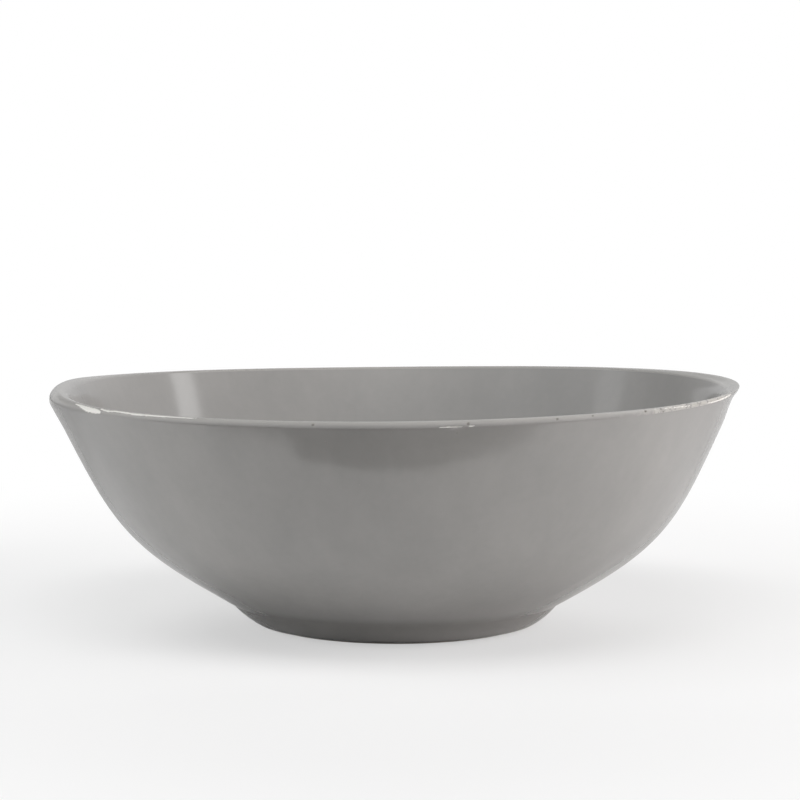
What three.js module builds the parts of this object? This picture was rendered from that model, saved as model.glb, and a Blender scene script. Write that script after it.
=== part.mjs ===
// Hand-formed stoneware salad bowl: a clay vessel with a waved rim, a foot ring luted to its flat base with slip,
// and the coats of glaze over them. Millimetres, +Z up. The origin lies on the table, under the middle of the rim.
import * as THREE from "three";

const { cos, sin, tan, PI } = Math;
const { clamp, degToRad, lerp, smoothstep } = THREE.MathUtils;

// The clay vessel
const rimDiameter = 278.8;
const rimHeight = 96; // middle height of the waved lip
const lipThickness = 2.8;
const wallThickness = 4.8; // at the foot of the wall, from where it thins to the lip
const floorThickness = 5.5;
const floorSweep = 18; // height over which the inside wall rounds into the floor
const wallFootSlope = degToRad(29.3);
const wallRimSlope = degToRad(62.3);
const wallFootPull = 59.2; // how far the slope at each end is carried into the wall's curve
const wallRimPull = 52.6;

// The foot
const waistDiameter = 132.2; // where the wall springs from the foot
const footHeight = 9.6;
const footDiameter = 103; // outer edge of the standing face
const standingWidth = 8;
const footRoll = 5.2; // how far the standing face's level is carried into the flank's curve
const flankSlope = degToRad(56);
const flankPull = 3.7;
const wellDraft = 2; // the well under the bowl is this much narrower at its ceiling, on the radius
const slipThickness = 0.6;

// The glaze
const glazeThickness = 0.5;
const rimGlazeThickness = 0.3; // it runs thin over the lip
const glazeClearance = 0.1; // from each coat to the clay
const coatGap = 0.2; // from the rim's coat to the coats beside it
const dryFoot = 1.5; // bare clay above the table

// The hand forming, which moves every piece alike
const waveStart = 30; // height where the rim's wave begins
const rimTilt = 1.5; // the rim is this much higher towards +X
const rimSaddle = 1.35; // higher at both ends of X, lower at both ends of Y
const rimRipple = 0.35;
const rippleBearing = degToRad(28);
const footOffset = 1.35; // the foot stands this far to +X of the rim's middle
const rollSwell = 2; // the lip thickens by this many times its thickness into a roll at the -X end
const rollReach = 14; // down the outside of the wall
const rollInsideReach = 30;
const rollSpread = degToRad(22.5);
const rollRise = 2.1;
const rollPull = 3.5; // towards the middle of the bowl
const flareDepth = 1.4; // the wall draws in by this much under the sharp edge at the +X end
const flareReach = 15; // down the wall
const flareNeck = 2; // where it is deepest, below the middle of the lip
const flareSpread = degToRad(20);
const bevelDepth = 3; // the lip there slopes down by this much to the inside
const bevelPivot = 0.8; // the share of the lip, from the inside, that goes down with it
const bevelReach = 14; // down the wall
const bevelSpread = degToRad(40);

// Facets
const aroundSteps = 60;
const wallSteps = 10;
const insideSteps = 8;
const lipCrowding = 1.6; // the wall's facets lie closer together towards the lip
const sweepSteps = 4;
const lipSteps = 7;
const flankSteps = 4;

const clay = new THREE.MeshStandardMaterial({ color: 0xcfc3b2, roughness: 0.85, metalness: 0 });
const slip = new THREE.MeshStandardMaterial({ color: 0xb9ad9c, roughness: 0.9, metalness: 0 });
const greyGlaze = new THREE.MeshStandardMaterial({ color: 0x959490, roughness: 0.22, metalness: 0 });
const rimGlaze = new THREE.MeshStandardMaterial({ color: 0xb9b6b0, roughness: 0.4, metalness: 0 });

const point = (radius, height) => new THREE.Vector2(radius, height);
const polar = (length, angle) => point(length * cos(angle), length * sin(angle));

// The unit normal on the right of the way from one point to the next, which is the side away from the clay
function rightOf(from, to) {
  const along = to.clone().sub(from).normalize();
  return point(along.y, -along.x);
}

// A profile moved off the clay by a distance, with its corners mitred
function offset(profile, distance) {
  const last = profile.length - 1;
  return profile.map((corner, i) => {
    const before = rightOf(profile[Math.max(i - 1, 0)], profile[Math.max(i, 1)]);
    const after = rightOf(profile[Math.min(i, last - 1)], profile[Math.min(i + 1, last)]);
    const normal = before.add(after).normalize();
    return corner.clone().addScaledVector(normal, distance / normal.dot(after));
  });
}

// The part of a profile that lies above a level, cut off there
function above(profile, level) {
  const kept = [];
  profile.forEach((corner, i) => {
    const next = profile[i + 1];
    if (corner.y > level) kept.push(corner);
    if (next && corner.y > level !== next.y > level) {
      kept.push(corner.clone().lerp(next, (level - corner.y) / (next.y - corner.y)));
    }
  });
  return kept;
}

// The closed profile of a coat of glaze on a stretch of clay, bare below a level
const backCorners = new Set();
function coatOn(profile, thickness, bareBelow = -Infinity) {
  const back = above(offset(profile, glazeClearance), bareBelow);
  const face = above(offset(profile, glazeClearance + thickness), bareBelow);
  back.forEach((corner) => backCorners.add(corner));
  return [...face, ...back.reverse()];
}

// The outside of the wall, from the waist up to the lip
const waist = point(waistDiameter / 2, footHeight);
const lipRadius = lipThickness / 2;
const lipMiddle = point(rimDiameter / 2 - lipRadius, rimHeight - lipRadius);
const wallEnd = lipMiddle.clone().add(polar(lipRadius, wallRimSlope - PI / 2));
const wallCurve = new THREE.CubicBezierCurve(
  waist,
  waist.clone().add(polar(wallFootPull, wallFootSlope)),
  wallEnd.clone().sub(polar(wallRimPull, wallRimSlope)),
  wallEnd,
);
const wallOutside = Array.from({ length: wallSteps + 1 }, (_, i) =>
  wallCurve.getPoint(1 - (1 - i / wallSteps) ** lipCrowding),
);

// The rounded lip, from the outside over the top to the inside, with a stretch left free at each end
function lipArc(freeEnd) {
  const endAngle = PI / 2 - freeEnd / lipRadius;
  return Array.from({ length: lipSteps + 1 }, (_, i) => {
    const angle = clamp(lerp(-PI / 2, PI / 2, i / lipSteps), -endAngle, endAngle);
    return lipMiddle.clone().add(polar(lipRadius, wallRimSlope + angle));
  });
}

// The inside of the wall, a share t of the way up its outside
function insideAt(t) {
  const thickness = lerp(wallThickness, lipThickness, t);
  const outward = rightOf(point(0, 0), wallCurve.getTangent(t));
  return wallCurve.getPoint(t).addScaledVector(outward, -thickness);
}

// How far up the wall its inside reaches a height
function shareAtHeight(height) {
  let low = 0;
  let high = 1;
  while (high - low > 1e-9) {
    const middle = (low + high) / 2;
    if (insideAt(middle).y < height) low = middle;
    else high = middle;
  }
  return low;
}

// The inside of the bowl, from the lip down the wall and round the sweep to the middle of the floor
const floorHeight = footHeight + floorThickness;
const sweepShare = shareAtHeight(floorHeight + floorSweep);
const sweepTop = insideAt(sweepShare);
const sweepTangent = wallCurve.getTangent(sweepShare);
const sweepReach = floorSweep / sweepTangent.y;
const sweepCorner = sweepTop.clone().addScaledVector(sweepTangent, -sweepReach);
const floorEdge = point(sweepCorner.x - sweepReach, floorHeight);
const sweep = new THREE.QuadraticBezierCurve(sweepTop, sweepCorner, floorEdge);
const wallInside = Array.from({ length: insideSteps }, (_, i) =>
  insideAt(lerp(1, sweepShare, (i / insideSteps) ** lipCrowding)),
);
const inside = [...wallInside, ...sweep.getPoints(sweepSteps), point(0, floorHeight)];

// The foot ring's flank, and the well inside it
const ringTop = footHeight - slipThickness;
const ringEdge = point(waist.x - slipThickness / tan(flankSlope), ringTop);
const standingEdge = point(footDiameter / 2, 0);
const flankCurve = new THREE.CubicBezierCurve(
  standingEdge,
  point(standingEdge.x + footRoll, 0),
  ringEdge.clone().sub(polar(flankPull, flankSlope)),
  ringEdge,
);
const flank = flankCurve.getPoints(flankSteps);
const wellMouth = standingEdge.x - standingWidth;
const wellCeiling = wellMouth - wellDraft;
const wellEdge = point(wellCeiling, ringTop);

// The hand forming: a thick roll of the lip at the -X end, a sharp edge drawn out at the +X end, a wave that grows
// towards the rim, and a lean off the foot
function formByHand(geometry) {
  const positions = geometry.getAttribute("position");
  const upWall = polar(1, wallRimSlope);
  const crest = lipRadius + glazeClearance + rimGlazeThickness;
  for (let i = 0; i < positions.count; i++) {
    const [x, y, z] = [positions.getX(i), positions.getY(i), positions.getZ(i)];
    const bearing = Math.atan2(y, x);
    const fromLip = point(Math.hypot(x, y), z).sub(lipMiddle);
    const along = fromLip.dot(upWall);
    const across = fromLip.cross(upWall);

    const rollEnd = Math.exp(-(((PI - Math.abs(bearing)) / rollSpread) ** 2));
    const outer = smoothstep(across, -lipRadius, lipRadius); // 0 on the wall's inside, 1 on its outside
    const roll = rollEnd * smoothstep(along, -lerp(rollInsideReach, rollReach, outer), 0);
    const sunk = (Math.max(along, 0) - crest) * roll;
    const bevelEnd = Math.exp(-((bearing / bevelSpread) ** 2));
    const bevel = bevelEnd * smoothstep(along, -bevelReach, 0) * (outer - bevelPivot);
    const rolledAlong = along + rollSwell * sunk + rollRise * roll + bevelDepth * bevel;
    const rolledAcross = across * (1 + rollSwell * roll);

    const flareEnd = Math.exp(-((bearing / flareSpread) ** 2));
    const neck = smoothstep(along, -flareReach, -flareNeck) * (1 - smoothstep(along, -flareNeck, crest));
    const drawnIn = rollPull * roll + flareDepth * flareEnd * neck;
    const radius = lipMiddle.x + rolledAlong * upWall.x + rolledAcross * upWall.y - drawnIn;
    const height = lipMiddle.y + rolledAlong * upWall.y - rolledAcross * upWall.x;

    const wave =
      rimTilt * cos(bearing) +
      rimSaddle * cos(2 * bearing) +
      rimRipple * cos(3 * (bearing - rippleBearing));
    const lean = footOffset * (1 - z / rimHeight);
    const lift = wave * smoothstep(z, waveStart, rimHeight);
    positions.setXYZ(i, radius * cos(bearing) + lean, radius * sin(bearing), height + lift);
  }
  geometry.computeVertexNormals();
}

// Splits the facets of a coat's back the other way, as those of the clay before it are split
function followClay(geometry, outline) {
  const index = geometry.getIndex();
  const isBack = (corner) => backCorners.has(outline[corner % outline.length]);
  for (let i = 0; i < index.count; i += 6) {
    const [start, next, up, across] = [0, 1, 2, 3].map((k) => index.getX(i + k));
    if (!isBack(start) || !isBack(up)) continue;
    [start, next, across, start, across, up].forEach((corner, k) => index.setX(i + k, corner));
  }
}

// A named piece turned from a closed profile, whose side along the axis is left out
function turned(name, profile, material) {
  const axisStart = profile.findIndex((corner, i) => corner.x === 0 && profile.at(i - 1).x === 0);
  const outline =
    axisStart < 0 ? [...profile, profile[0]] : [...profile.slice(axisStart), ...profile.slice(0, axisStart)];
  const geometry = new THREE.LatheGeometry(outline, aroundSteps);
  geometry.rotateX(PI / 2);
  followClay(geometry, outline);
  formByHand(geometry);
  const piece = new THREE.Mesh(geometry, material);
  piece.name = name;
  return piece;
}

const vessel = [point(0, footHeight), ...wallOutside, ...lipArc(0).slice(1, -1), ...inside];
const ring = [point(wellMouth, 0), ...flank, wellEdge];
const joint = [wellEdge, ringEdge, waist, point(wellCeiling, footHeight)];
const outside = [...flank, ...wallOutside];
const well = [point(0, footHeight), point(wellCeiling, footHeight), wellEdge, point(wellMouth, 0)];

const bowl = new THREE.Group();
bowl.add(
  turned("stoneware_wall", vessel, clay),
  turned("foot_ring", ring, clay),
  turned("foot_slip", joint, slip),
  turned("outer_glaze", coatOn(outside, glazeThickness, dryFoot), greyGlaze),
  turned("inner_glaze", coatOn(inside, glazeThickness), greyGlaze),
  turned("rim_glaze", coatOn(lipArc(coatGap), rimGlazeThickness), rimGlaze),
  turned("underside_glaze", coatOn(well, glazeThickness, dryFoot), greyGlaze),
);

// The middle of the bowl's box lies over the origin
const middle = new THREE.Box3().setFromObject(bowl).getCenter(new THREE.Vector3());
bowl.children.forEach((piece) => piece.geometry.translate(-middle.x, -middle.y, 0));

export default bowl;
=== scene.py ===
import math
import random

import bpy
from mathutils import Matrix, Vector


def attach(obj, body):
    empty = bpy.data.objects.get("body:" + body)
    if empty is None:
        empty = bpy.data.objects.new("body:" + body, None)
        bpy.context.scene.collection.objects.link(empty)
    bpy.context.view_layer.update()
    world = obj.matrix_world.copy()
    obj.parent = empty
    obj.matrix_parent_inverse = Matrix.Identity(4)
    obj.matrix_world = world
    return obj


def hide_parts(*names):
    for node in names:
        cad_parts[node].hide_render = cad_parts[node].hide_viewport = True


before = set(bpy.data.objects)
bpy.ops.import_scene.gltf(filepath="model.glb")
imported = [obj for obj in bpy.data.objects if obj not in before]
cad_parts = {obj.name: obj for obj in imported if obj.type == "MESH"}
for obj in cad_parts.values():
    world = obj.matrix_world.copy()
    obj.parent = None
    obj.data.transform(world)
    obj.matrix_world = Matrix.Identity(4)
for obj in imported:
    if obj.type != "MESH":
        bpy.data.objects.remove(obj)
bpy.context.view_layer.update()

mm = 0.001
scene = bpy.context.scene
scene.view_settings.view_transform = "Standard"


# Small helpers for node trees
def feed(tree, socket, value):  # links a socket, or sets its value
    if isinstance(value, bpy.types.NodeSocket):
        tree.links.new(value, socket)
    else:
        socket.default_value = value


def node(tree, kind, inputs=None, **settings):
    made = tree.nodes.new(kind)
    for name, value in settings.items():
        setattr(made, name, value)
    for name, value in (inputs or {}).items():
        feed(tree, made.inputs[name], value)
    return made


def calc(tree, how, *values):
    made = tree.nodes.new("ShaderNodeMath")
    made.operation = how
    for socket, value in zip(made.inputs, values):
        feed(tree, socket, value)
    return made.outputs[0]


def total(tree, *values):
    result = values[0]
    for value in values[1:]:
        result = calc(tree, "ADD", result, value)
    return result


def product(tree, *values):
    result = values[0]
    for value in values[1:]:
        result = calc(tree, "MULTIPLY", result, value)
    return result


def ease(tree, value, start, end, low=0.0, high=1.0):  # a smooth step from low to high
    limits = {"Value": value, "From Min": start, "From Max": end, "To Min": low, "To Max": high}
    return node(tree, "ShaderNodeMapRange", limits, interpolation_type="SMOOTHSTEP").outputs["Result"]


def hump(tree, value, rise, fade, top=1.0):  # up over one range and down over another
    return product(tree, ease(tree, value, *rise), ease(tree, value, *fade, top, 0.0))


def noise(tree, place, scale, detail=2.0, roughness=0.5):  # about -0.5 to 0.5
    inputs = {"Vector": place, "Scale": scale, "Detail": detail, "Roughness": roughness}
    return calc(tree, "SUBTRACT", node(tree, "ShaderNodeTexNoise", inputs).outputs[0], 0.5)


def blendColour(tree, share, first, second):
    made = node(tree, "ShaderNodeMix", data_type="RGBA", clamp_factor=True)
    for place, value in ((0, share), (6, first), (7, second)):
        feed(tree, made.inputs[place], value)
    return made.outputs[2]


def colour(red, green, blue):  # from the 0 to 255 values that a picture shows, by the sRGB curve
    def linear(shown):
        return shown / 3294.6 if shown <= 10 else ((shown / 255 + 0.055) / 1.055) ** 2.4

    return (linear(red), linear(green), linear(blue), 1.0)


# The bowl's section, in millimetres and degrees, as in the solid
bowlForm = {
    "rimDiameter": 278.8,
    "rimHeight": 96,
    "lipThickness": 2.8,
    "wallThickness": 4.8,
    "floorThickness": 5.5,
    "floorSweep": 18,
    "wallFootSlope": 29.3,
    "wallRimSlope": 62.3,
    "wallFootPull": 59.2,
    "wallRimPull": 52.6,
    "waistDiameter": 132.2,
    "footHeight": 9.6,
    "footDiameter": 103,
    "standingWidth": 8,
    "footRoll": 5.2,
    "flankSlope": 56,
    "flankPull": 3.7,
    "wellDraft": 2,
    "slipThickness": 0.6,
}
coatForm = {
    "thickness": 0.5,
    "rimThickness": 0.2,
    "thinning": 28,  # the wall's coats thin over this distance from the lip
    "clearance": 0.1,
    "seam": 0.004,
    "dryFoot": 1.5,
}
sectionSteps = {
    "wall": 64,
    "inside": 50,
    "sweep": 18,
    "floor": 14,
    "lip": 22,
    "flank": 14,
    "well": 10,
    "base": 6,
    "ringTop": 4,
}
closeRow = 0.004  # a narrow row at each end of a coat, so that shading runs on across the seams
closeWallRow = 0.2 * closeRow


def polar(length, degrees):
    return Vector((length * math.cos(math.radians(degrees)), length * math.sin(math.radians(degrees))))


def onCurve(corners, t):
    while len(corners) > 1:
        corners = [a.lerp(b, t) for a, b in zip(corners, corners[1:])]
    return corners[0]


def curvePoints(corners, steps):
    return [onCurve(corners, i / steps) for i in range(steps + 1)]


def straight(start, end, steps):
    return [start.lerp(end, i / steps) for i in range(steps + 1)]


def rightOf(start, end):  # the side away from the clay
    way = (end - start).normalized()
    return Vector((way.y, -way.x))


def offBy(profile, distances):
    last = len(profile) - 1
    moved = []
    for i, corner in enumerate(profile):
        before = rightOf(profile[max(i - 1, 0)], profile[max(i, 1)])
        after = rightOf(profile[min(i, last - 1)], profile[min(i + 1, last)])
        normal = (before + after).normalized()
        moved.append(corner + normal * (distances[i] / normal.dot(after)))
    return moved


def above(profile, level):
    kept = []
    for corner, following in zip(profile, profile[1:] + [None]):
        if corner.y > level:
            kept.append(corner)
        if following and (corner.y > level) != (following.y > level):
            kept.append(corner.lerp(following, (level - corner.y) / (following.y - corner.y)))
    return kept


waist = Vector((bowlForm["waistDiameter"] / 2, bowlForm["footHeight"]))
lipRadius = bowlForm["lipThickness"] / 2
lipMiddle = Vector((bowlForm["rimDiameter"] / 2 - lipRadius, bowlForm["rimHeight"] - lipRadius))
rimSlope = bowlForm["wallRimSlope"]
wallEnd = lipMiddle + polar(lipRadius, rimSlope - 90)
wallCorners = [
    waist,
    waist + polar(bowlForm["wallFootPull"], bowlForm["wallFootSlope"]),
    wallEnd - polar(bowlForm["wallRimPull"], rimSlope),
    wallEnd,
]


def wallWay(t):  # the direction of the wall, a share t of the way up
    return (onCurve(wallCorners[1:], t) - onCurve(wallCorners[:-1], t)).normalized()


def insideAt(t):
    thick = bowlForm["wallThickness"] + (bowlForm["lipThickness"] - bowlForm["wallThickness"]) * t
    way = wallWay(t)
    return onCurve(wallCorners, t) - Vector((way.y, -way.x)) * thick


def shareAtHeight(height):
    low, high = 0.0, 1.0
    while high - low > 1e-9:
        middle = (low + high) / 2
        low, high = (middle, high) if insideAt(middle).y < height else (low, middle)
    return low


def lipArc(seam):
    free = math.degrees(seam / lipRadius)
    steps = sectionSteps["lip"]
    shares = [0, closeRow] + [i / steps for i in range(1, steps)] + [1 - closeRow, 1]
    return [lipMiddle + polar(lipRadius, rimSlope - 90 + free + (180 - 2 * free) * share) for share in shares]


# The wall's two sides, from the foot up to the lip and from the lip down to the floor
wallOutside = curvePoints(wallCorners, sectionSteps["wall"])
wallOutside.insert(-1, onCurve(wallCorners, 1 - closeWallRow))
floorHeight = bowlForm["footHeight"] + bowlForm["floorThickness"]
sweepShare = shareAtHeight(floorHeight + bowlForm["floorSweep"])
sweepTop = insideAt(sweepShare)
sweepReach = bowlForm["floorSweep"] / wallWay(sweepShare).y
sweepCorner = sweepTop - wallWay(sweepShare) * sweepReach
floorEdge = Vector((sweepCorner.x - sweepReach, floorHeight))
insideSteps = sectionSteps["inside"]
wallInside = [insideAt(1 + (sweepShare - 1) * i / insideSteps) for i in range(insideSteps)]
wallInside.insert(1, insideAt(1 - closeWallRow))
sweepCurve = curvePoints([sweepTop, sweepCorner, floorEdge], sectionSteps["sweep"])
floorLine = straight(floorEdge, Vector((0, floorHeight)), sectionSteps["floor"])
inside = wallInside + sweepCurve[:-1] + floorLine

# The foot ring and the well inside it
ringTop = bowlForm["footHeight"] - bowlForm["slipThickness"]
slipInset = bowlForm["slipThickness"] / math.tan(math.radians(bowlForm["flankSlope"]))
ringEdge = Vector((waist.x - slipInset, ringTop))
standingEdge = Vector((bowlForm["footDiameter"] / 2, 0))
flankCorners = [
    standingEdge,
    standingEdge + Vector((bowlForm["footRoll"], 0)),
    ringEdge - polar(bowlForm["flankPull"], bowlForm["flankSlope"]),
    ringEdge,
]
flank = curvePoints(flankCorners, sectionSteps["flank"])
wellMouth = Vector((standingEdge.x - bowlForm["standingWidth"], 0))
wellEdge = Vector((wellMouth.x - bowlForm["wellDraft"], ringTop))
wellCorner = Vector((wellEdge.x, bowlForm["footHeight"]))
wellCeiling = straight(Vector((0, bowlForm["footHeight"])), wellCorner, sectionSteps["well"])
well = wellCeiling + straight(wellEdge, wellMouth, sectionSteps["well"])


def coat(profile, thicknesses, bareBelow=-1.0):  # a closed section, its face first
    clear = coatForm["clearance"]
    back = above(offBy(profile, [clear] * len(profile)), bareBelow)
    face = above(offBy(profile, [clear + t for t in thicknesses]), bareBelow)
    return face, back


def wallCoat(profile, bareBelow=-1.0):  # thinner towards the lip
    full, thin = coatForm["thickness"], coatForm["rimThickness"]
    shares = [min((lipMiddle - corner).length / coatForm["thinning"], 1) for corner in profile]
    return coat(profile, [thin + (full - thin) * s * s * (3 - 2 * s) for s in shares], bareBelow)


def rimCoat():
    arc = lipArc(coatForm["seam"])
    return coat(arc, [coatForm["rimThickness"]] * len(arc))


# The worn rim: where glaze has chipped or pitted, and painted highlights along the lip edge drawn as chips.
# Each chip is a stroke of bearings in degrees from +X, places across the lip in degrees from its crest, minus
# to the outside, and half widths in millimetres
rimWear = {
    "chipsAndHighlights": [
        [
            (209.6, -4, 0.22),
            (211.2, -9, 0.42),
            (213.0, -22, 0.75),
            (215.0, -34, 1.0),
            (217.2, -38, 0.95),
            (218.4, -44, 0.6),
        ],
        # this stroke and the next: a thin bare edge on the lip with a painted highlight along it
        [
            (218.4, 2, 0.34),
            (219.8, -12, 0.42),
            (220.9, -14, 0.4),
            (222.0, 0, 0.42),
            (224.5, -4, 0.5),
            (227.0, -12, 0.5),
        ],
        [(227.0, -12, 0.5), (230.0, -10, 0.44), (233.5, -6, 0.36), (236.8, -4, 0.26), (239.5, -3, 0.16)],
        [(276.9, -92, 0.38), (278.2, -86, 0.42), (279.4, -82, 0.26), (280.2, -80, 0.14)],
        [(281.0, -76, 0.16), (281.9, -74, 0.3)],
        [(316.0, -40, 0.12), (319.8, -50, 0.18), (322.6, -60, 0.14)],
        # a painted highlight on the lip edge at the right end, drawn as a chip
        [(328.6, -74, 0.14), (331.6, -80, 0.28), (334.4, -76, 0.42), (337.2, -66, 0.4), (340.0, -54, 0.2)],
    ],
    "pits": [
        # bearing, across, half width
        (219.1, 22, 0.5),
        (256.5, 3, 0.34),
        (258.5, -44, 0.4),
        (281.0, -48, 0.5),
        (295.0, -40, 0.46),
        (301.1, -31, 0.3),
        (311.5, -42, 0.5),
        (315.0, -40, 0.46),
        (315.6, -78, 0.4),
        (322.0, -24, 0.46),
    ],
    "spacing": 0.35,
    "ragged": 1.1,  # how far noise breaks up a mark's edge, in half widths
    "raggedScale": 900.0,
    # stray marks round the back, drawn between these limits
    "strayChips": 9,
    "chipLimits": [(25, 155), (-80, -40), (0.2, 0.6)],
    "chipTurn": (0.5, 3),
    "chipDrift": (-15, 15),
    "chipTaper": 0.6,
    "strayPits": 26,
    "pitLimits": [(25, 195), (-80, -20), (0.2, 0.4)],
    "seed": 11,
}
# metres to a radian on the unrolled lip
unrollAround = bowlForm["rimDiameter"] / 2 * mm
unrollAcross = (lipRadius + coatForm["clearance"] + coatForm["rimThickness"]) * mm


def strokePoints(knots):
    around = bowlForm["rimDiameter"] / 2
    points = []
    for start, end in zip(knots, knots[1:]):
        count = max(1, round(math.radians(end[0] - start[0]) * around / rimWear["spacing"]))
        points += [tuple(a + (b - a) * i / count for a, b in zip(start, end)) for i in range(count)]
    return points + [knots[-1]]


def strayChip(draw):
    bearing, across, half = [draw.uniform(*limits) for limits in rimWear["chipLimits"]]
    turned = bearing + draw.uniform(*rimWear["chipTurn"])
    drifted = across + draw.uniform(*rimWear["chipDrift"])
    return [(bearing, across, half), (turned, drifted, half * rimWear["chipTaper"])]


def rimMarks():  # points on the unrolled lip, with each mark's size
    draw = random.Random(rimWear["seed"])
    strokes = rimWear["chipsAndHighlights"] + [strayChip(draw) for _ in range(rimWear["strayChips"])]
    marks = [(*point, 0.0) for stroke in strokes for point in strokePoints(stroke)]
    marks += [(*pit, 1.0) for pit in rimWear["pits"]]
    for _ in range(rimWear["strayPits"]):
        marks.append((*[draw.uniform(*limits) for limits in rimWear["pitLimits"]], 1.0))
    turned = [((b + 180) % 360 - 180, a, w, k) for b, a, w, k in marks]
    places = [(math.radians(b) * unrollAround, math.radians(a) * unrollAcross, 0) for b, a, *_ in turned]
    mesh = bpy.data.meshes.new("rimMarks")
    mesh.from_pydata(places, [], [])
    for name, place, unit in (("halfWidth", 2, mm), ("isPit", 3, 1.0)):
        values = [mark[place] * unit for mark in turned]
        mesh.attributes.new(name, "FLOAT", "POINT").data.foreach_set("value", values)
    marker = bpy.data.objects.new("rimMarks", mesh)
    scene.collection.objects.link(marker)
    return marker


# The hand forming, in metres and radians, which moves every piece alike
handForming = {
    "Rim Height": bowlForm["rimHeight"] * mm,
    "Lip Radius": lipMiddle.x * mm,
    "Lip Height": lipMiddle.y * mm,
    "Rim Slope": math.radians(rimSlope),
    "Wave Start": 30 * mm,
    "Rim Tilt": 1.5 * mm,
    "Rim Saddle": 1.35 * mm,
    "Rim Ripple": 0.35 * mm,
    "Ripple Bearing": math.radians(28),
    "Foot Offset": 1.35 * mm,
    "Middle Shift": -0.334 * mm,
    "Lip Half": lipRadius * mm,
    "Lip Crest": 1.8 * mm,
    "Roll Swell": 2.0,  # the thick roll of the lip at the -X end
    "Roll Reach": 14 * mm,
    "Roll Inside Reach": 30 * mm,
    "Roll Spread": math.radians(22.5),
    "Roll Rise": 2.1 * mm,
    "Roll Pull": 3.5 * mm,
    "Flare Depth": 1.4 * mm,  # the sharp edge drawn out at the +X end
    "Flare Reach": 15 * mm,
    "Flare Neck": 2 * mm,
    "Flare Spread": math.radians(20),
    "Bevel Depth": 3 * mm,
    "Bevel Pivot": 0.8,
    "Bevel Reach": 14 * mm,
    "Bevel Spread": math.radians(40),
    "Palm Marks": 0.2 * mm,  # soft dents that the hands left in the wall
    "Palm Size": 34 * mm,
    "Rim Wobble": 0.08 * mm,
    "Wobble Size": 16 * mm,
    "Foot Pool": 0.7 * mm,  # glaze run together over the foot at the -X side
    "Chip Depth": 0.15 * mm,
}
# where its parts rise and fade
formingRanges = {
    "offAxis": (45 * mm, 50 * mm),  # radius
    "palmRise": (12 * mm, 30 * mm),  # heights
    "palmFade": (50 * mm, 78 * mm),
    "poolRise": (3 * mm, 8.5 * mm),
    "poolFade": (8.5 * mm, 17 * mm),
    "poolSide": (0.1, -0.8),  # cosine of the bearing
    "wobbleRise": (86 * mm, 93 * mm),
    "markLip": (-4 * mm, -2 * mm),  # along the wall, from the middle of the lip
    "markEdge": (0.75, 1.1),  # in a mark's half widths
}
mergeWithin = 1e-6  # closes the seam and the poles


def sampled(tree, geometry, kind, value, index):
    inputs = {"Geometry": geometry, "Value": value, "Index": index}
    return node(tree, "GeometryNodeSampleIndex", inputs, data_type=kind).outputs[0]


def named(tree, name):
    return node(tree, "GeometryNodeInputNamedAttribute", {"Name": name}).outputs["Attribute"]


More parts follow.
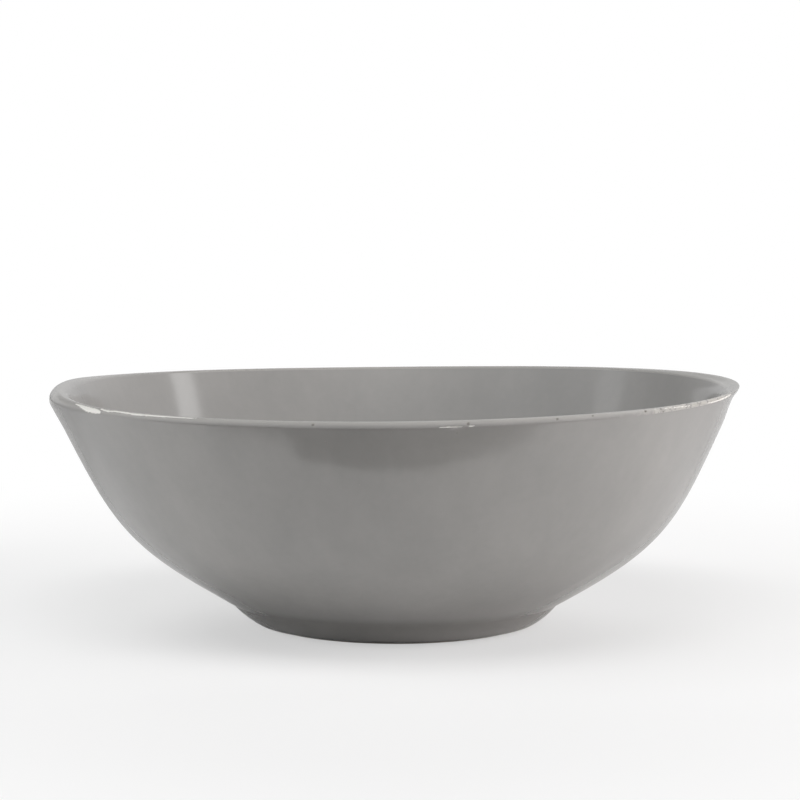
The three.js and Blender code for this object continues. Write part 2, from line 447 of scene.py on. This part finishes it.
def formingTree():
    tree = bpy.data.node_groups.new("handFormedShell", "GeometryNodeTree")
    sockets = tree.interface
    sockets.new_socket("Section", in_out="INPUT", socket_type="NodeSocketGeometry")
    sockets.new_socket("Around", in_out="INPUT", socket_type="NodeSocketInt")
    sockets.new_socket("Finish", in_out="INPUT", socket_type="NodeSocketMaterial")
    sockets.new_socket("Rim Marks", in_out="INPUT", socket_type="NodeSocketObject")
    for name, value in handForming.items():
        sockets.new_socket(name, in_out="INPUT", socket_type="NodeSocketFloat").default_value = value
    sockets.new_socket("Shell", in_out="OUTPUT", socket_type="NodeSocketGeometry")
    given = tree.nodes.new("NodeGroupInput").outputs
    section = given["Section"]

    # a grid whose rows are the section's points and whose columns go round
    count = node(tree, "GeometryNodeAttributeDomainSize", {"Geometry": section}).outputs["Point Count"]
    columns = calc(tree, "ADD", given["Around"], 1)
    grid = node(tree, "GeometryNodeMeshGrid", {"Vertices X": columns, "Vertices Y": count})
    index = tree.nodes.new("GeometryNodeInputIndex").outputs[0]
    column = calc(tree, "FLOOR", calc(tree, "DIVIDE", calc(tree, "ADD", index, 0.5), count))
    row = calc(tree, "SUBTRACT", index, calc(tree, "MULTIPLY", column, count))

    position = tree.nodes.new("GeometryNodeInputPosition").outputs[0]
    place = sampled(tree, section, "FLOAT_VECTOR", position, row)
    isFace = sampled(tree, section, "FLOAT", named(tree, "isFace"), row)
    parts = node(tree, "ShaderNodeSeparateXYZ", {"Vector": place}).outputs
    radius, height = parts["X"], parts["Z"]
    turn = calc(tree, "DIVIDE", column, given["Around"])
    bearing = calc(tree, "SUBTRACT", calc(tree, "MULTIPLY", turn, math.tau), math.pi)
    cosine, sine = calc(tree, "COSINE", bearing), calc(tree, "SINE", bearing)

    # where the point lies from the middle of the lip, along and across the wall
    slopeCos, slopeSin = calc(tree, "COSINE", given["Rim Slope"]), calc(tree, "SINE", given["Rim Slope"])
    outwards = calc(tree, "SUBTRACT", radius, given["Lip Radius"])
    upwards = calc(tree, "SUBTRACT", height, given["Lip Height"])
    along = total(tree, product(tree, outwards, slopeCos), product(tree, upwards, slopeSin))
    across = calc(tree, "SUBTRACT", product(tree, outwards, slopeSin), product(tree, upwards, slopeCos))

    # the thick roll of the lip at the -X end, and the lip sloped to the inside at the +X end
    def endLobe(angle, width):
        squared = calc(tree, "POWER", calc(tree, "DIVIDE", angle, width), 2.0)
        return calc(tree, "EXPONENT", product(tree, squared, -1.0))

    def below(name):
        return calc(tree, "MULTIPLY", given[name], -1.0)

    crest = given["Lip Crest"]
    rollEnd = endLobe(calc(tree, "SUBTRACT", math.pi, calc(tree, "ABSOLUTE", bearing)), given["Roll Spread"])
    # 0 on the wall's inside, 1 on its outside
    outer = ease(tree, across, below("Lip Half"), given["Lip Half"])
    longer = calc(tree, "SUBTRACT", given["Roll Inside Reach"], given["Roll Reach"])
    reach = calc(tree, "SUBTRACT", given["Roll Inside Reach"], product(tree, longer, outer))
    roll = product(tree, rollEnd, ease(tree, along, calc(tree, "MULTIPLY", reach, -1.0), 0.0))
    underCrest = calc(tree, "SUBTRACT", calc(tree, "MAXIMUM", along, 0.0), crest)
    sunk = product(tree, underCrest, roll, given["Roll Swell"])
    bevel = product(
        tree,
        endLobe(bearing, given["Bevel Spread"]),
        ease(tree, along, below("Bevel Reach"), 0.0),
        calc(tree, "SUBTRACT", outer, given["Bevel Pivot"]),
        given["Bevel Depth"],
    )
    moreAlong = total(tree, sunk, product(tree, roll, given["Roll Rise"]), bevel)
    moreAcross = product(tree, across, roll, given["Roll Swell"])

    # the sharp edge drawn out at the +X end, and what both ends add
    flareEnd = endLobe(bearing, given["Flare Spread"])
    neck = hump(tree, along, (below("Flare Reach"), below("Flare Neck")), (below("Flare Neck"), crest))
    flare = product(tree, flareEnd, neck, given["Flare Depth"])
    drawnIn = total(tree, product(tree, roll, given["Roll Pull"]), flare)
    widened = total(tree, product(tree, moreAlong, slopeCos), product(tree, moreAcross, slopeSin))
    pulled = calc(tree, "SUBTRACT", widened, drawnIn)
    raised = calc(tree, "SUBTRACT", product(tree, moreAlong, slopeSin), product(tree, moreAcross, slopeCos))

    # palm marks in the wall, none at the lip, the foot and the middle of the floor
    offAxis = ease(tree, radius, *formingRanges["offAxis"])
    ring = node(tree, "ShaderNodeCombineXYZ", {"X": cosine, "Y": sine}).outputs[0]
    toGirth = {0: ring, "Scale": given["Lip Radius"]}
    girth = node(tree, "ShaderNodeVectorMath", toGirth, operation="SCALE").outputs[0]
    lifted = node(tree, "ShaderNodeCombineXYZ", {"Z": height}).outputs[0]
    onWall = node(tree, "ShaderNodeVectorMath", {0: girth, 1: lifted}, operation="ADD").outputs[0]
    palm = noise(tree, onWall, calc(tree, "DIVIDE", 1.0, given["Palm Size"]), 1.0)
    wallOnly = hump(tree, height, formingRanges["palmRise"], formingRanges["palmFade"])
    palm = product(tree, palm, given["Palm Marks"], wallOnly, offAxis, 2.0)  # noise reaches a half each way

    # glaze pooled over the outside of the foot at the -X side
    poolSide = ease(tree, cosine, *formingRanges["poolSide"])
    poolHeight = hump(tree, height, formingRanges["poolRise"], formingRanges["poolFade"])
    pool = product(tree, poolSide, poolHeight, given["Foot Pool"], isFace, offAxis)

    # chips and pits, found on the unrolled lip; some chip strokes are painted highlights
    crestAngle = calc(tree, "ARCTAN2", calc(tree, "MULTIPLY", across, -1.0), along)
    onLip = {
        "X": calc(tree, "MULTIPLY", bearing, unrollAround),
        "Y": calc(tree, "MULTIPLY", crestAngle, unrollAcross),
    }
    unrolled = node(tree, "ShaderNodeCombineXYZ", onLip).outputs[0]
    marks = node(tree, "GeometryNodeObjectInfo", {"Object": given["Rim Marks"]}).outputs["Geometry"]
    sought = {"Geometry": marks, "Sample Position": unrolled}
    nearest = node(tree, "GeometryNodeSampleNearest", sought).outputs[0]
    middle = sampled(tree, marks, "FLOAT_VECTOR", position, nearest)
    halfWidth = sampled(tree, marks, "FLOAT", named(tree, "halfWidth"), nearest)
    isPit = sampled(tree, marks, "FLOAT", named(tree, "isPit"), nearest)
    away = node(tree, "ShaderNodeVectorMath", {0: unrolled, 1: middle}, operation="DISTANCE").outputs["Value"]
    ragged = noise(tree, unrolled, rimWear["raggedScale"], 4.0, 0.6)
    spread = total(tree, calc(tree, "DIVIDE", away, halfWidth), product(tree, ragged, rimWear["ragged"]))
    nearLip = product(tree, isFace, ease(tree, along, *formingRanges["markLip"]))
    mark = product(tree, ease(tree, spread, *formingRanges["markEdge"], 1.0, 0.0), nearLip)
    dent = product(tree, mark, given["Chip Depth"], -1.0)
    facing = calc(tree, "ADD", given["Rim Slope"], crestAngle)
    dentOut = product(tree, dent, calc(tree, "COSINE", facing))
    dentUp = product(tree, dent, calc(tree, "SINE", facing))

    # the rim's wave, the lean off the foot, and the finished place
    fromRipple = calc(tree, "SUBTRACT", bearing, given["Ripple Bearing"])
    wave = total(
        tree,
        product(tree, given["Rim Tilt"], cosine),
        product(tree, given["Rim Saddle"], calc(tree, "COSINE", product(tree, bearing, 2.0))),
        product(tree, given["Rim Ripple"], calc(tree, "COSINE", product(tree, fromRipple, 3.0))),
    )
    wobble = noise(tree, girth, calc(tree, "DIVIDE", 1.0, given["Wobble Size"]), 2.0)
    wobble = product(tree, wobble, given["Rim Wobble"], ease(tree, height, *formingRanges["wobbleRise"]))
    lift = product(tree, wave, ease(tree, height, given["Wave Start"], given["Rim Height"]))
    fullRadius = total(tree, radius, pulled, palm, pool, dentOut)
    lean = calc(tree, "SUBTRACT", 1.0, calc(tree, "DIVIDE", height, given["Rim Height"]))
    leaning = product(tree, lean, given["Foot Offset"])
    formed = {
        "X": total(tree, product(tree, fullRadius, cosine), leaning, given["Middle Shift"]),
        "Y": product(tree, fullRadius, sine),
        "Z": total(tree, height, raised, lift, wobble, dentUp),
    }
    finished = node(tree, "ShaderNodeCombineXYZ", formed).outputs[0]

    def keep(geometry, name, kind, domain, value):
        inputs = {"Geometry": geometry, "Name": name, "Value": value}
        return node(tree, "GeometryNodeStoreNamedAttribute", inputs, data_type=kind, domain=domain).outputs[0]

    shell = keep(grid.outputs["Mesh"], "UVMap", "FLOAT2", "CORNER", grid.outputs["UV Map"])
    shell = keep(shell, "chip", "FLOAT", "POINT", product(tree, mark, calc(tree, "SUBTRACT", 1.0, isPit)))
    shell = keep(shell, "pit", "FLOAT", "POINT", product(tree, mark, isPit))
    shell = keep(shell, "crest", "FLOAT", "POINT", calc(tree, "COSINE", crestAngle))
    shell = keep(shell, "inward", "FLOAT", "POINT", calc(tree, "SINE", crestAngle))
    shell = node(tree, "GeometryNodeSetPosition", {"Geometry": shell, "Position": finished}).outputs[0]
    shell = node(tree, "GeometryNodeMergeByDistance", {"Geometry": shell, "Distance": mergeWithin}).outputs[0]
    shell = node(tree, "GeometryNodeRealizeInstances", {"Geometry": shell}).outputs[0]
    shell = node(tree, "GeometryNodeSetMaterial", {"Geometry": shell, "Material": given["Finish"]}).outputs[0]
    tree.links.new(shell, tree.nodes.new("NodeGroupOutput").inputs["Shell"])
    return tree


# Finishes
def finishMaterial(name):
    made = bpy.data.materials.new(name)
    made.use_nodes = True
    return made, made.node_tree, made.node_tree.nodes["Principled BSDF"]


mottleValues = {
    "cloudSize": 55 * mm,
    "streakSize": 22 * mm,
    "streakSquash": 0.22,  # draws the streaks out down the wall
    "peelSize": 3.2 * mm,
    "speckSpacing": 11.7 * mm,
    "speckEdge": (0.03, 0.055),  # shares of the spacing
    "speckRare": (0.86, 0.9),
    "speckShare": 0.5,
    "speckRough": 0.25,
    "cloudShare": 1.1,
    "cloudRough": 0.06,
    "streakShare": 0.8,
    "peelShare": 0.3,
    "peelHeight": 0.5,
    "paleShare": 0.3,
}


def mottleGroup():  # soft clouds, runs and pinholes that all the glazes share
    tree = bpy.data.node_groups.new("glazeMottle", "ShaderNodeTree")
    sockets = tree.interface
    for name in ("Glaze", "Pale", "Speck"):
        sockets.new_socket(name, in_out="INPUT", socket_type="NodeSocketColor")
    for name in ("Clouds", "Gloss"):
        sockets.new_socket(name, in_out="INPUT", socket_type="NodeSocketFloat")
    sockets.new_socket("Color", in_out="OUTPUT", socket_type="NodeSocketColor")
    for name in ("Roughness", "Height"):
        sockets.new_socket(name, in_out="OUTPUT", socket_type="NodeSocketFloat")
    given = tree.nodes.new("NodeGroupInput").outputs
    place = tree.nodes.new("ShaderNodeTexCoord").outputs["Object"]
    squash = (1.0, 1.0, mottleValues["streakSquash"])
    runs = node(tree, "ShaderNodeMapping", {"Vector": place, "Scale": squash}).outputs[0]
    clouds = noise(tree, place, 1 / mottleValues["cloudSize"], 3.0)
    streaks = noise(tree, runs, 1 / mottleValues["streakSize"], 3.0, 0.6)
    fine = noise(tree, place, 1 / mottleValues["peelSize"], 4.0, 0.6)
    share = total(
        tree,
        product(tree, clouds, mottleValues["cloudShare"]),
        product(tree, streaks, mottleValues["streakShare"]),
        product(tree, fine, mottleValues["peelShare"]),
    )
    share = total(tree, product(tree, share, given["Clouds"]), mottleValues["paleShare"])
    body = blendColour(tree, share, given["Glaze"], given["Pale"])
    cells = node(tree, "ShaderNodeTexVoronoi", {"Vector": place, "Scale": 1 / mottleValues["speckSpacing"]})
    rare = node(tree, "ShaderNodeSeparateColor", {"Color": cells.outputs["Color"]}).outputs[0]
    dot = ease(tree, cells.outputs["Distance"], *mottleValues["speckEdge"], 1.0, 0.0)
    speck = product(tree, dot, ease(tree, rare, *mottleValues["speckRare"]))
    finished = blendColour(tree, product(tree, speck, mottleValues["speckShare"]), body, given["Speck"])
    cloudRough = product(tree, clouds, mottleValues["cloudRough"])
    rough = total(tree, given["Gloss"], cloudRough, product(tree, speck, mottleValues["speckRough"]))
    height = total(tree, product(tree, fine, mottleValues["peelHeight"]), product(tree, speck, -1.0))
    out = tree.nodes.new("NodeGroupOutput").inputs
    for name, value in (("Color", finished), ("Roughness", rough), ("Height", height)):
        tree.links.new(value, out[name])
    return tree


mottle = mottleGroup()


def placeMottle(tree):
    made = tree.nodes.new("ShaderNodeGroup")
    made.node_tree = mottle
    for name in ("glaze", "pale", "speck", "clouds", "gloss"):
        made.inputs[name.capitalize()].default_value = greyGlaze[name]
    return made.outputs


def bumped(tree, height, strength, distance):
    inputs = {"Height": height, "Strength": strength, "Distance": distance}
    return node(tree, "ShaderNodeBump", inputs).outputs[0]


greyGlaze = {
    "glaze": colour(136, 135, 133),
    "pale": colour(157, 155, 152),
    "speck": colour(106, 102, 97),
    "footShade": colour(98, 95, 91),  # painted shade: the glaze is darkened over the foot, between these heights, for the contact shadow there
    "footShadeRise": (3 * mm, 9 * mm),
    "footShadeFade": (9.5 * mm, 14 * mm),
    "footShadeShare": 0.35,
    "clouds": 0.7,
    "gloss": 0.11,
    "ior": 1.74,
    "bump": 0.08,
    "bumpDepth": 0.2 * mm,
}


def greyGlazeMaterial():
    made, tree, shader = finishMaterial("softGreyGlaze")
    look = placeMottle(tree)
    place = tree.nodes.new("ShaderNodeTexCoord").outputs["Object"]
    height = node(tree, "ShaderNodeSeparateXYZ", {"Vector": place}).outputs["Z"]
    # painted shade: the glaze colour darkens over the foot, where the contact shadow falls
    footShadeMask = hump(tree, height, greyGlaze["footShadeRise"], greyGlaze["footShadeFade"], greyGlaze["footShadeShare"])
    tree.links.new(blendColour(tree, footShadeMask, look["Color"], greyGlaze["footShade"]), shader.inputs["Base Color"])
    tree.links.new(look["Roughness"], shader.inputs["Roughness"])
    peel = bumped(tree, look["Height"], greyGlaze["bump"], greyGlaze["bumpDepth"])
    tree.links.new(peel, shader.inputs["Normal"])
    shader.inputs["IOR"].default_value = greyGlaze["ior"]
    return made


rimGlaze = {
    "thin": colour(158, 156, 152),  # over the crest and the inside of the lip: glaze thinning paler, and a painted highlight along the crest
    "thinAndHighlightShare": 0.9,
    "worn": colour(168, 165, 160),
    # white of bare clay in the chips, also used for the painted highlights along the lip edge
    "bare": colour(228, 226, 221),
    "pit": colour(66, 58, 50),
    "crest": (0.4, 1.0),  # cosine of the angle from the crest
    "inward": (0.1, 0.7),  # its sine, plus to the inside
    "rollFade": (0.3, 0.42),  # the inside is grey again at the roll: shares of the way round from +X
    "wornRise": (0.33, 0.4),  # shares of the way round from -X, by the front
    "wornFade": (0.43, 0.45),
    "grainScale": 420.0,
    "patchLift": 0.3,
    "patch": (0.56, 0.8),
    "patchRough": 0.25,
    "markRough": 0.3,
    "peel": 0.4,
    "grit": 1.4,
    "bump": 0.25,
    "bumpDepth": 0.3 * mm,
}


def rimGlazeMaterial():
    made, tree, shader = finishMaterial("wornRimGlaze")
    look = placeMottle(tree)
    place = tree.nodes.new("ShaderNodeTexCoord")
    uv = node(tree, "ShaderNodeSeparateXYZ", {"Vector": place.outputs["UV"]}).outputs
    grain = {"Vector": place.outputs["Object"], "Scale": rimGlaze["grainScale"], "Detail": 4.0}
    grains = node(tree, "ShaderNodeTexNoise", grain).outputs[0]

    def kept(name):  # an attribute that the forming tree kept
        return node(tree, "ShaderNodeAttribute", attribute_name=name).outputs["Fac"]

    chip, pit = kept("chip"), kept("pit")
    fromRight = calc(tree, "ABSOLUTE", calc(tree, "SUBTRACT", uv["X"], 0.5))
    notRoll = ease(tree, fromRight, *rimGlaze["rollFade"], 1.0, 0.0)
    insideLip = product(tree, ease(tree, kept("inward"), *rimGlaze["inward"]), notRoll)
    # the paler crest is partly thin glaze and partly a painted highlight along the top of the lip
    thinAndHighlightLip = calc(tree, "MAXIMUM", ease(tree, kept("crest"), *rimGlaze["crest"]), insideLip)
    thin = blendColour(tree, product(tree, thinAndHighlightLip, rimGlaze["thinAndHighlightShare"]), look["Color"], rimGlaze["thin"])
    wornSide = hump(tree, uv["X"], rimGlaze["wornRise"], rimGlaze["wornFade"])
    lifted = total(tree, grains, product(tree, wornSide, rimGlaze["patchLift"]))
    patch = product(tree, ease(tree, lifted, *rimGlaze["patch"]), wornSide)
    worn = blendColour(tree, patch, thin, rimGlaze["worn"])
    # bare clay in the chips, and painted highlights where chip strokes stand in for them
    bare = blendColour(tree, chip, worn, rimGlaze["bare"])
    tree.links.new(blendColour(tree, pit, bare, rimGlaze["pit"]), shader.inputs["Base Color"])
    rough = total(
        tree,
        look["Roughness"],
        product(tree, patch, rimGlaze["patchRough"]),
        product(tree, chip, rimGlaze["markRough"]),
        product(tree, pit, rimGlaze["markRough"]),
    )
    tree.links.new(rough, shader.inputs["Roughness"])
    peel = product(tree, look["Height"], rimGlaze["peel"])
    grit = total(tree, peel, product(tree, grains, wornSide, rimGlaze["grit"]))
    tree.links.new(bumped(tree, grit, rimGlaze["bump"], rimGlaze["bumpDepth"]), shader.inputs["Normal"])
    shader.inputs["IOR"].default_value = greyGlaze["ior"]
    return made


dryClay = {
    "clay": colour(156, 147, 135),
    "pale": colour(178, 170, 158),
    "paleShare": 0.4,
    "grog": colour(120, 110, 99),
    "grogShare": 0.6,
    "grogEdge": (0.1, 0.2),
    "shade": colour(70, 62, 54),
    "slipShade": 0.25,  # how much darker the slip is
    "grainScale": 700.0,
    "cloudScale": 60.0,
    "grogScale": 520.0,
    "grainShare": 0.6,
    "rough": 0.82,
    "grainRough": 0.2,
    "bump": 0.5,
    "bumpDepth": 0.2 * mm,
}


def dryClayMaterial(name, shade):
    made, tree, shader = finishMaterial(name)
    place = tree.nodes.new("ShaderNodeTexCoord").outputs["Object"]
    grain = noise(tree, place, dryClay["grainScale"], 5.0, 0.65)
    clouds = noise(tree, place, dryClay["cloudScale"], 3.0)
    share = total(tree, dryClay["paleShare"], clouds, product(tree, grain, dryClay["grainShare"]))
    body = blendColour(tree, share, dryClay["clay"], dryClay["pale"])
    cells = node(tree, "ShaderNodeTexVoronoi", {"Vector": place, "Scale": dryClay["grogScale"]})
    grog = ease(tree, cells.outputs["Distance"], *dryClay["grogEdge"], 1.0, 0.0)
    body = blendColour(tree, product(tree, grog, dryClay["grogShare"]), body, dryClay["grog"])
    tree.links.new(blendColour(tree, shade, body, dryClay["shade"]), shader.inputs["Base Color"])
    rough = total(tree, dryClay["rough"], product(tree, grain, dryClay["grainRough"]))
    tree.links.new(rough, shader.inputs["Roughness"])
    tree.links.new(bumped(tree, grain, dryClay["bump"], dryClay["bumpDepth"]), shader.inputs["Normal"])
    return made


# The pieces: each is a section turned by the forming tree
pieceSteps = {"glaze": 360, "rim": 1400, "clay": 240, "foot": 240}
sharpFrom = math.radians(40)
onAxis = 1e-9
forming = formingTree()
marker = rimMarks()


def sectionMesh(name, face, back):
    path = face + back[::-1]
    coated = 1.0 if back else 0.0  # only a coat of glaze pools and chips
    if path[0].x < onAxis:  # both ends on the axis
        flags = [coated] * len(face) + [0.0] * len(back)
    elif face[-1].x < onAxis:  # turned so that the ends lie on the axis
        path = back[::-1] + face
        flags = [0.0] * len(back) + [coated] * len(face)
    else:
        path = path + [path[0]]
        flags = [coated] * len(face) + [0.0] * len(back) + [coated]
    edges = [(i, i + 1) for i in range(len(path) - 1)]
    mesh = bpy.data.meshes.new(name)
    mesh.from_pydata([(p.x * mm, 0, p.y * mm) for p in path], edges, [])
    mesh.attributes.new("isFace", "FLOAT", "POINT").data.foreach_set("value", flags)
    return mesh


def turnedPiece(name, face, back, around, finish, cadNode, slot):
    piece = bpy.data.objects.new(name, sectionMesh(name, face, back))
    scene.collection.objects.link(piece)
    former = piece.modifiers.new("forming", "NODES")
    former.node_group = forming
    values = {"Around": around, "Finish": finish, "Rim Marks": marker}
    for item in forming.interface.items_tree:
        if item.in_out == "INPUT" and item.name in values:
            former[item.identifier] = values[item.name]
    bpy.context.view_layer.update()
    shape = bpy.data.meshes.new_from_object(piece.evaluated_get(bpy.context.evaluated_depsgraph_get()))
    piece.modifiers.clear()
    piece.data = shape
    shape.name = name
    shape.polygons.foreach_set("use_smooth", [True] * len(shape.polygons))
    shape.set_sharp_from_angle(angle=sharpFrom)
    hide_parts(cadNode)
    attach(piece, "root")
    print("turned", name, len(shape.vertices), "points")


greyFinish = greyGlazeMaterial()
rimFinish = rimGlazeMaterial()
clayFinish = dryClayMaterial("dryClay", 0.0)
slipFinish = dryClayMaterial("joiningSlip", dryClay["slipShade"])

base = [Vector((0, bowlForm["footHeight"]))] + straight(wellCorner, waist, sectionSteps["base"])[:-1]
vesselLine = base + wallOutside + lipArc(0)[1:-1] + inside
ringLine = [wellMouth] + flank + straight(ringEdge, wellEdge, sectionSteps["ringTop"])[1:]
slipLine = [wellEdge, ringEdge, waist, wellCorner]
outsideCoat = wallCoat(flank + wallOutside, coatForm["dryFoot"])
wellCoat = wallCoat(well, coatForm["dryFoot"])

turnedPiece("clayVessel", vesselLine, [], pieceSteps["clay"], clayFinish, "stoneware_wall", "clay")
turnedPiece("footRing", ringLine, [], pieceSteps["foot"], clayFinish, "foot_ring", "clay")
turnedPiece("footSlip", slipLine, [], pieceSteps["foot"], slipFinish, "foot_slip", "slip")
turnedPiece("glazeOutside", *outsideCoat, pieceSteps["glaze"], greyFinish, "outer_glaze", "grey_glaze")
turnedPiece("glazeInside", *wallCoat(inside), pieceSteps["glaze"], greyFinish, "inner_glaze", "grey_glaze")
turnedPiece("glazeRim", *rimCoat(), pieceSteps["rim"], rimFinish, "rim_glaze", "rim_glaze")
turnedPiece("glazeUnderside", *wellCoat, pieceSteps["foot"], greyFinish, "underside_glaze", "grey_glaze")
bpy.data.objects.remove(marker)


# The studio
photoCamera = {"place": (0.0024, -1.0, 0.1772), "tilt": 0.086, "lens": 110.7, "sensor": 36, "clip": 0.01}
eye = bpy.data.cameras.new("photoCamera")
eye.lens = photoCamera["lens"]
eye.sensor_width = photoCamera["sensor"]
eye.clip_start = photoCamera["clip"]
camera = bpy.data.objects.new("photoCamera", eye)
camera.location = photoCamera["place"]
camera.rotation_euler = (math.pi / 2 - photoCamera["tilt"], 0, 0)
scene.collection.objects.link(camera)
scene.camera = camera

studio = {
    "floorHalf": 3.0,
    "floorColour": colour(240, 240, 240),
    "whiteFrom": 0.22,  # the floor fades to white between these distances
    "whiteTo": 0.5,
    "ambient": 0.05,
    "dimWay": (-0.55, 0.79, 0.26),  # a dimmer corner of the room behind on the left, in reflections
    "dimFrom": 0.7,
    "dimBy": 0.6,
    "dimLow": 0.12,  # it begins this far up
    "lowBehind": 0.55,  # how bright the room is low down behind the bowl, in reflections
    "roomBack": (0.0, 0.5),  # where that begins and is full, by the way a ray goes
    "roomLow": (0.0, 0.5),
    "floorBehindLeft": 0.6,  # and the floor there
    "floorBehindRight": 0.75,
    "floorSides": (-0.1, 0.2),
    "floorBack": (0.02, 0.2),
    "glow": 0.22,  # light that the table gives back to the wall above it, in a ring round the foot
    "glowRise": (0.09, 0.11),
    "glowFade": (0.12, 0.15),
    "shadowKept": 0.5,
    "matte": 0.9,
    # a dark surface before the bowl, seen only in reflections: its near edge from left to right
    "flagColour": colour(14, 14, 14),
    "flagNear": [
        (-0.25, -0.08),
        (-0.146, -0.136),
        (-0.114, -0.157),
        (-0.086, -0.1706),
        (-0.067, -0.17),
        (-0.051, -0.1748),
        (0, -0.1798),
        (0.058, -0.1757),
        (0.077, -0.1718),
        (0.127, -0.1555),
        (0.25, -0.077),
    ],
    "flagFar": -0.24,
    "flagHeight": 0.0006,
}
softboxes = {
    # place, aimed at, width, height, watts, seen in reflections
    "rightBand": ((0.875, 0.265, 0.773), (-0.09, 0.09, 0.085), 0.16, 0.6, 0.54, True),
    "leftBand": ((-0.888, 0.3, 0.742), (0.096, 0.09, 0.088), 0.2, 0.5, 0.12, True),
    "rightFill": ((1.3, -0.35, 0.45), (0, 0, 0.05), 0.9, 0.7, 15.9, False),
    "leftFill": ((-1.3, -0.35, 0.45), (0, 0, 0.05), 0.9, 0.7, 7.0, False),
    "highFront": ((0, -0.7, 1.4), (0, 0, 0.05), 0.9, 0.6, 8.2, False),
    "highLeft": ((-0.8, -0.3, 1.3), (0, 0, 0.05), 0.8, 0.6, 4.1, False),
    "backFill": ((0, 1.5, 0.6), (0, 0, 0.05), 1.6, 0.8, 17.5, False),
}
lampTints = {"rightFill": (1.0, 0.965, 0.955), "leftFill": (0.98, 0.99, 1.0)}  # the others are white


def sheet(name, corners, finish):
    mesh = bpy.data.meshes.new(name)
    mesh.from_pydata(corners, [], [tuple(range(len(corners)))])
    mesh.materials.append(finish)
    made = bpy.data.objects.new(name, mesh)
    scene.collection.objects.link(made)
    return made


def floorMaterial():
    made, tree, shader = finishMaterial("paleFloor")
    shader.inputs["Roughness"].default_value = studio["matte"]
    shader.inputs["Specular IOR Level"].default_value = 0.0
    path = tree.nodes.new("ShaderNodeLightPath").outputs
    seen = path["Is Camera Ray"]
    place = tree.nodes.new("ShaderNodeTexCoord").outputs["Object"]
    where = node(tree, "ShaderNodeSeparateXYZ", {"Vector": place}).outputs
    left, right = 1 - studio["floorBehindLeft"], 1 - studio["floorBehindRight"]
    sideDim = ease(tree, where["X"], *studio["floorSides"], left, right)
    dim = product(tree, ease(tree, where["Y"], *studio["floorBack"]), sideDim, path["Is Glossy Ray"])
    tree.links.new(blendColour(tree, dim, studio["floorColour"], (0, 0, 0, 1)), shader.inputs["Base Color"])
    away = node(tree, "ShaderNodeVectorMath", {0: place}, operation="LENGTH").outputs["Value"]
    lightest = 1 - studio["shadowKept"]
    fade = product(tree, ease(tree, away, studio["whiteFrom"], studio["whiteTo"], lightest), seen)
    ring = hump(tree, away, studio["glowRise"], studio["glowFade"])
    unseen = calc(tree, "SUBTRACT", 1.0, calc(tree, "MAXIMUM", seen, path["Is Glossy Ray"]))
    tree.links.new(product(tree, ring, unseen, studio["glow"]), shader.inputs["Emission Strength"])
    shader.inputs["Emission Color"].default_value = (1, 1, 1, 1)
    both = node(tree, "ShaderNodeMixShader", {0: fade, 1: shader.outputs[0]})
    tree.links.new(tree.nodes.new("ShaderNodeEmission").outputs[0], both.inputs[2])
    tree.links.new(both.outputs[0], tree.nodes["Material Output"].inputs["Surface"])
    return made


def flagMaterial():
    made, tree, shader = finishMaterial("darkFlag")
    shader.inputs["Base Color"].default_value = studio["flagColour"]
    shader.inputs["Roughness"].default_value = 1.0
    shader.inputs["Specular IOR Level"].default_value = 0.0
    return made


half = studio["floorHalf"]
sheet("floor", [(-half, -half, 0), (half, -half, 0), (half, half, 0), (-half, half, 0)], floorMaterial())
nearEdge = studio["flagNear"]
farEdge = [(nearEdge[0][0], studio["flagFar"]), (nearEdge[-1][0], studio["flagFar"])]
flag = sheet("darkFlag", [(x, y, studio["flagHeight"]) for x, y in farEdge + nearEdge[::-1]], flagMaterial())
flag.visible_camera = False
flag.visible_shadow = False
flag.visible_diffuse = False

world = bpy.data.worlds.new("whiteRoom")
scene.world = world
world.use_nodes = True
tree = world.node_tree
path = tree.nodes.new("ShaderNodeLightPath").outputs
reflected = calc(tree, "MAXIMUM", path["Is Glossy Ray"], path["Is Transmission Ray"])
seen = calc(tree, "MAXIMUM", path["Is Camera Ray"], reflected)
rayWay = tree.nodes.new("ShaderNodeTexCoord").outputs["Generated"]
way = node(tree, "ShaderNodeVectorMath", {0: rayWay, 1: studio["dimWay"]}, operation="DOT_PRODUCT")
dim = product(tree, ease(tree, way.outputs["Value"], studio["dimFrom"], 1.0), studio["dimBy"])
going = node(tree, "ShaderNodeSeparateXYZ", {"Vector": rayWay}).outputs
dim = product(tree, dim, ease(tree, going["Z"], studio["dimLow"], 2 * studio["dimLow"]))
low = ease(tree, going["Z"], *studio["roomLow"], 1 - studio["lowBehind"], 0.0)
behind = product(tree, ease(tree, going["Y"], *studio["roomBack"]), low)
dim = product(tree, calc(tree, "MAXIMUM", dim, behind), path["Is Glossy Ray"])
lit = product(tree, seen, 1 - studio["ambient"])
strength = total(tree, studio["ambient"], lit, product(tree, dim, -1.0))
back = tree.nodes["Background"]
back.inputs["Color"].default_value = (1, 1, 1, 1)
tree.links.new(strength, back.inputs["Strength"])

for name, (place, aim, width, height, watts, mirrored) in softboxes.items():
    lamp = bpy.data.lights.new(name, "AREA")
    lamp.shape = "RECTANGLE"
    lamp.size, lamp.size_y = width, height
    lamp.energy = watts
    lamp.color = lampTints.get(name, (1.0, 1.0, 1.0))
    box = bpy.data.objects.new(name, lamp)
    box.location = place
    box.rotation_euler = (Vector(aim) - Vector(place)).to_track_quat("-Z", "Y").to_euler()
    box.visible_glossy = mirrored
    scene.collection.objects.link(box)
print("studio set")
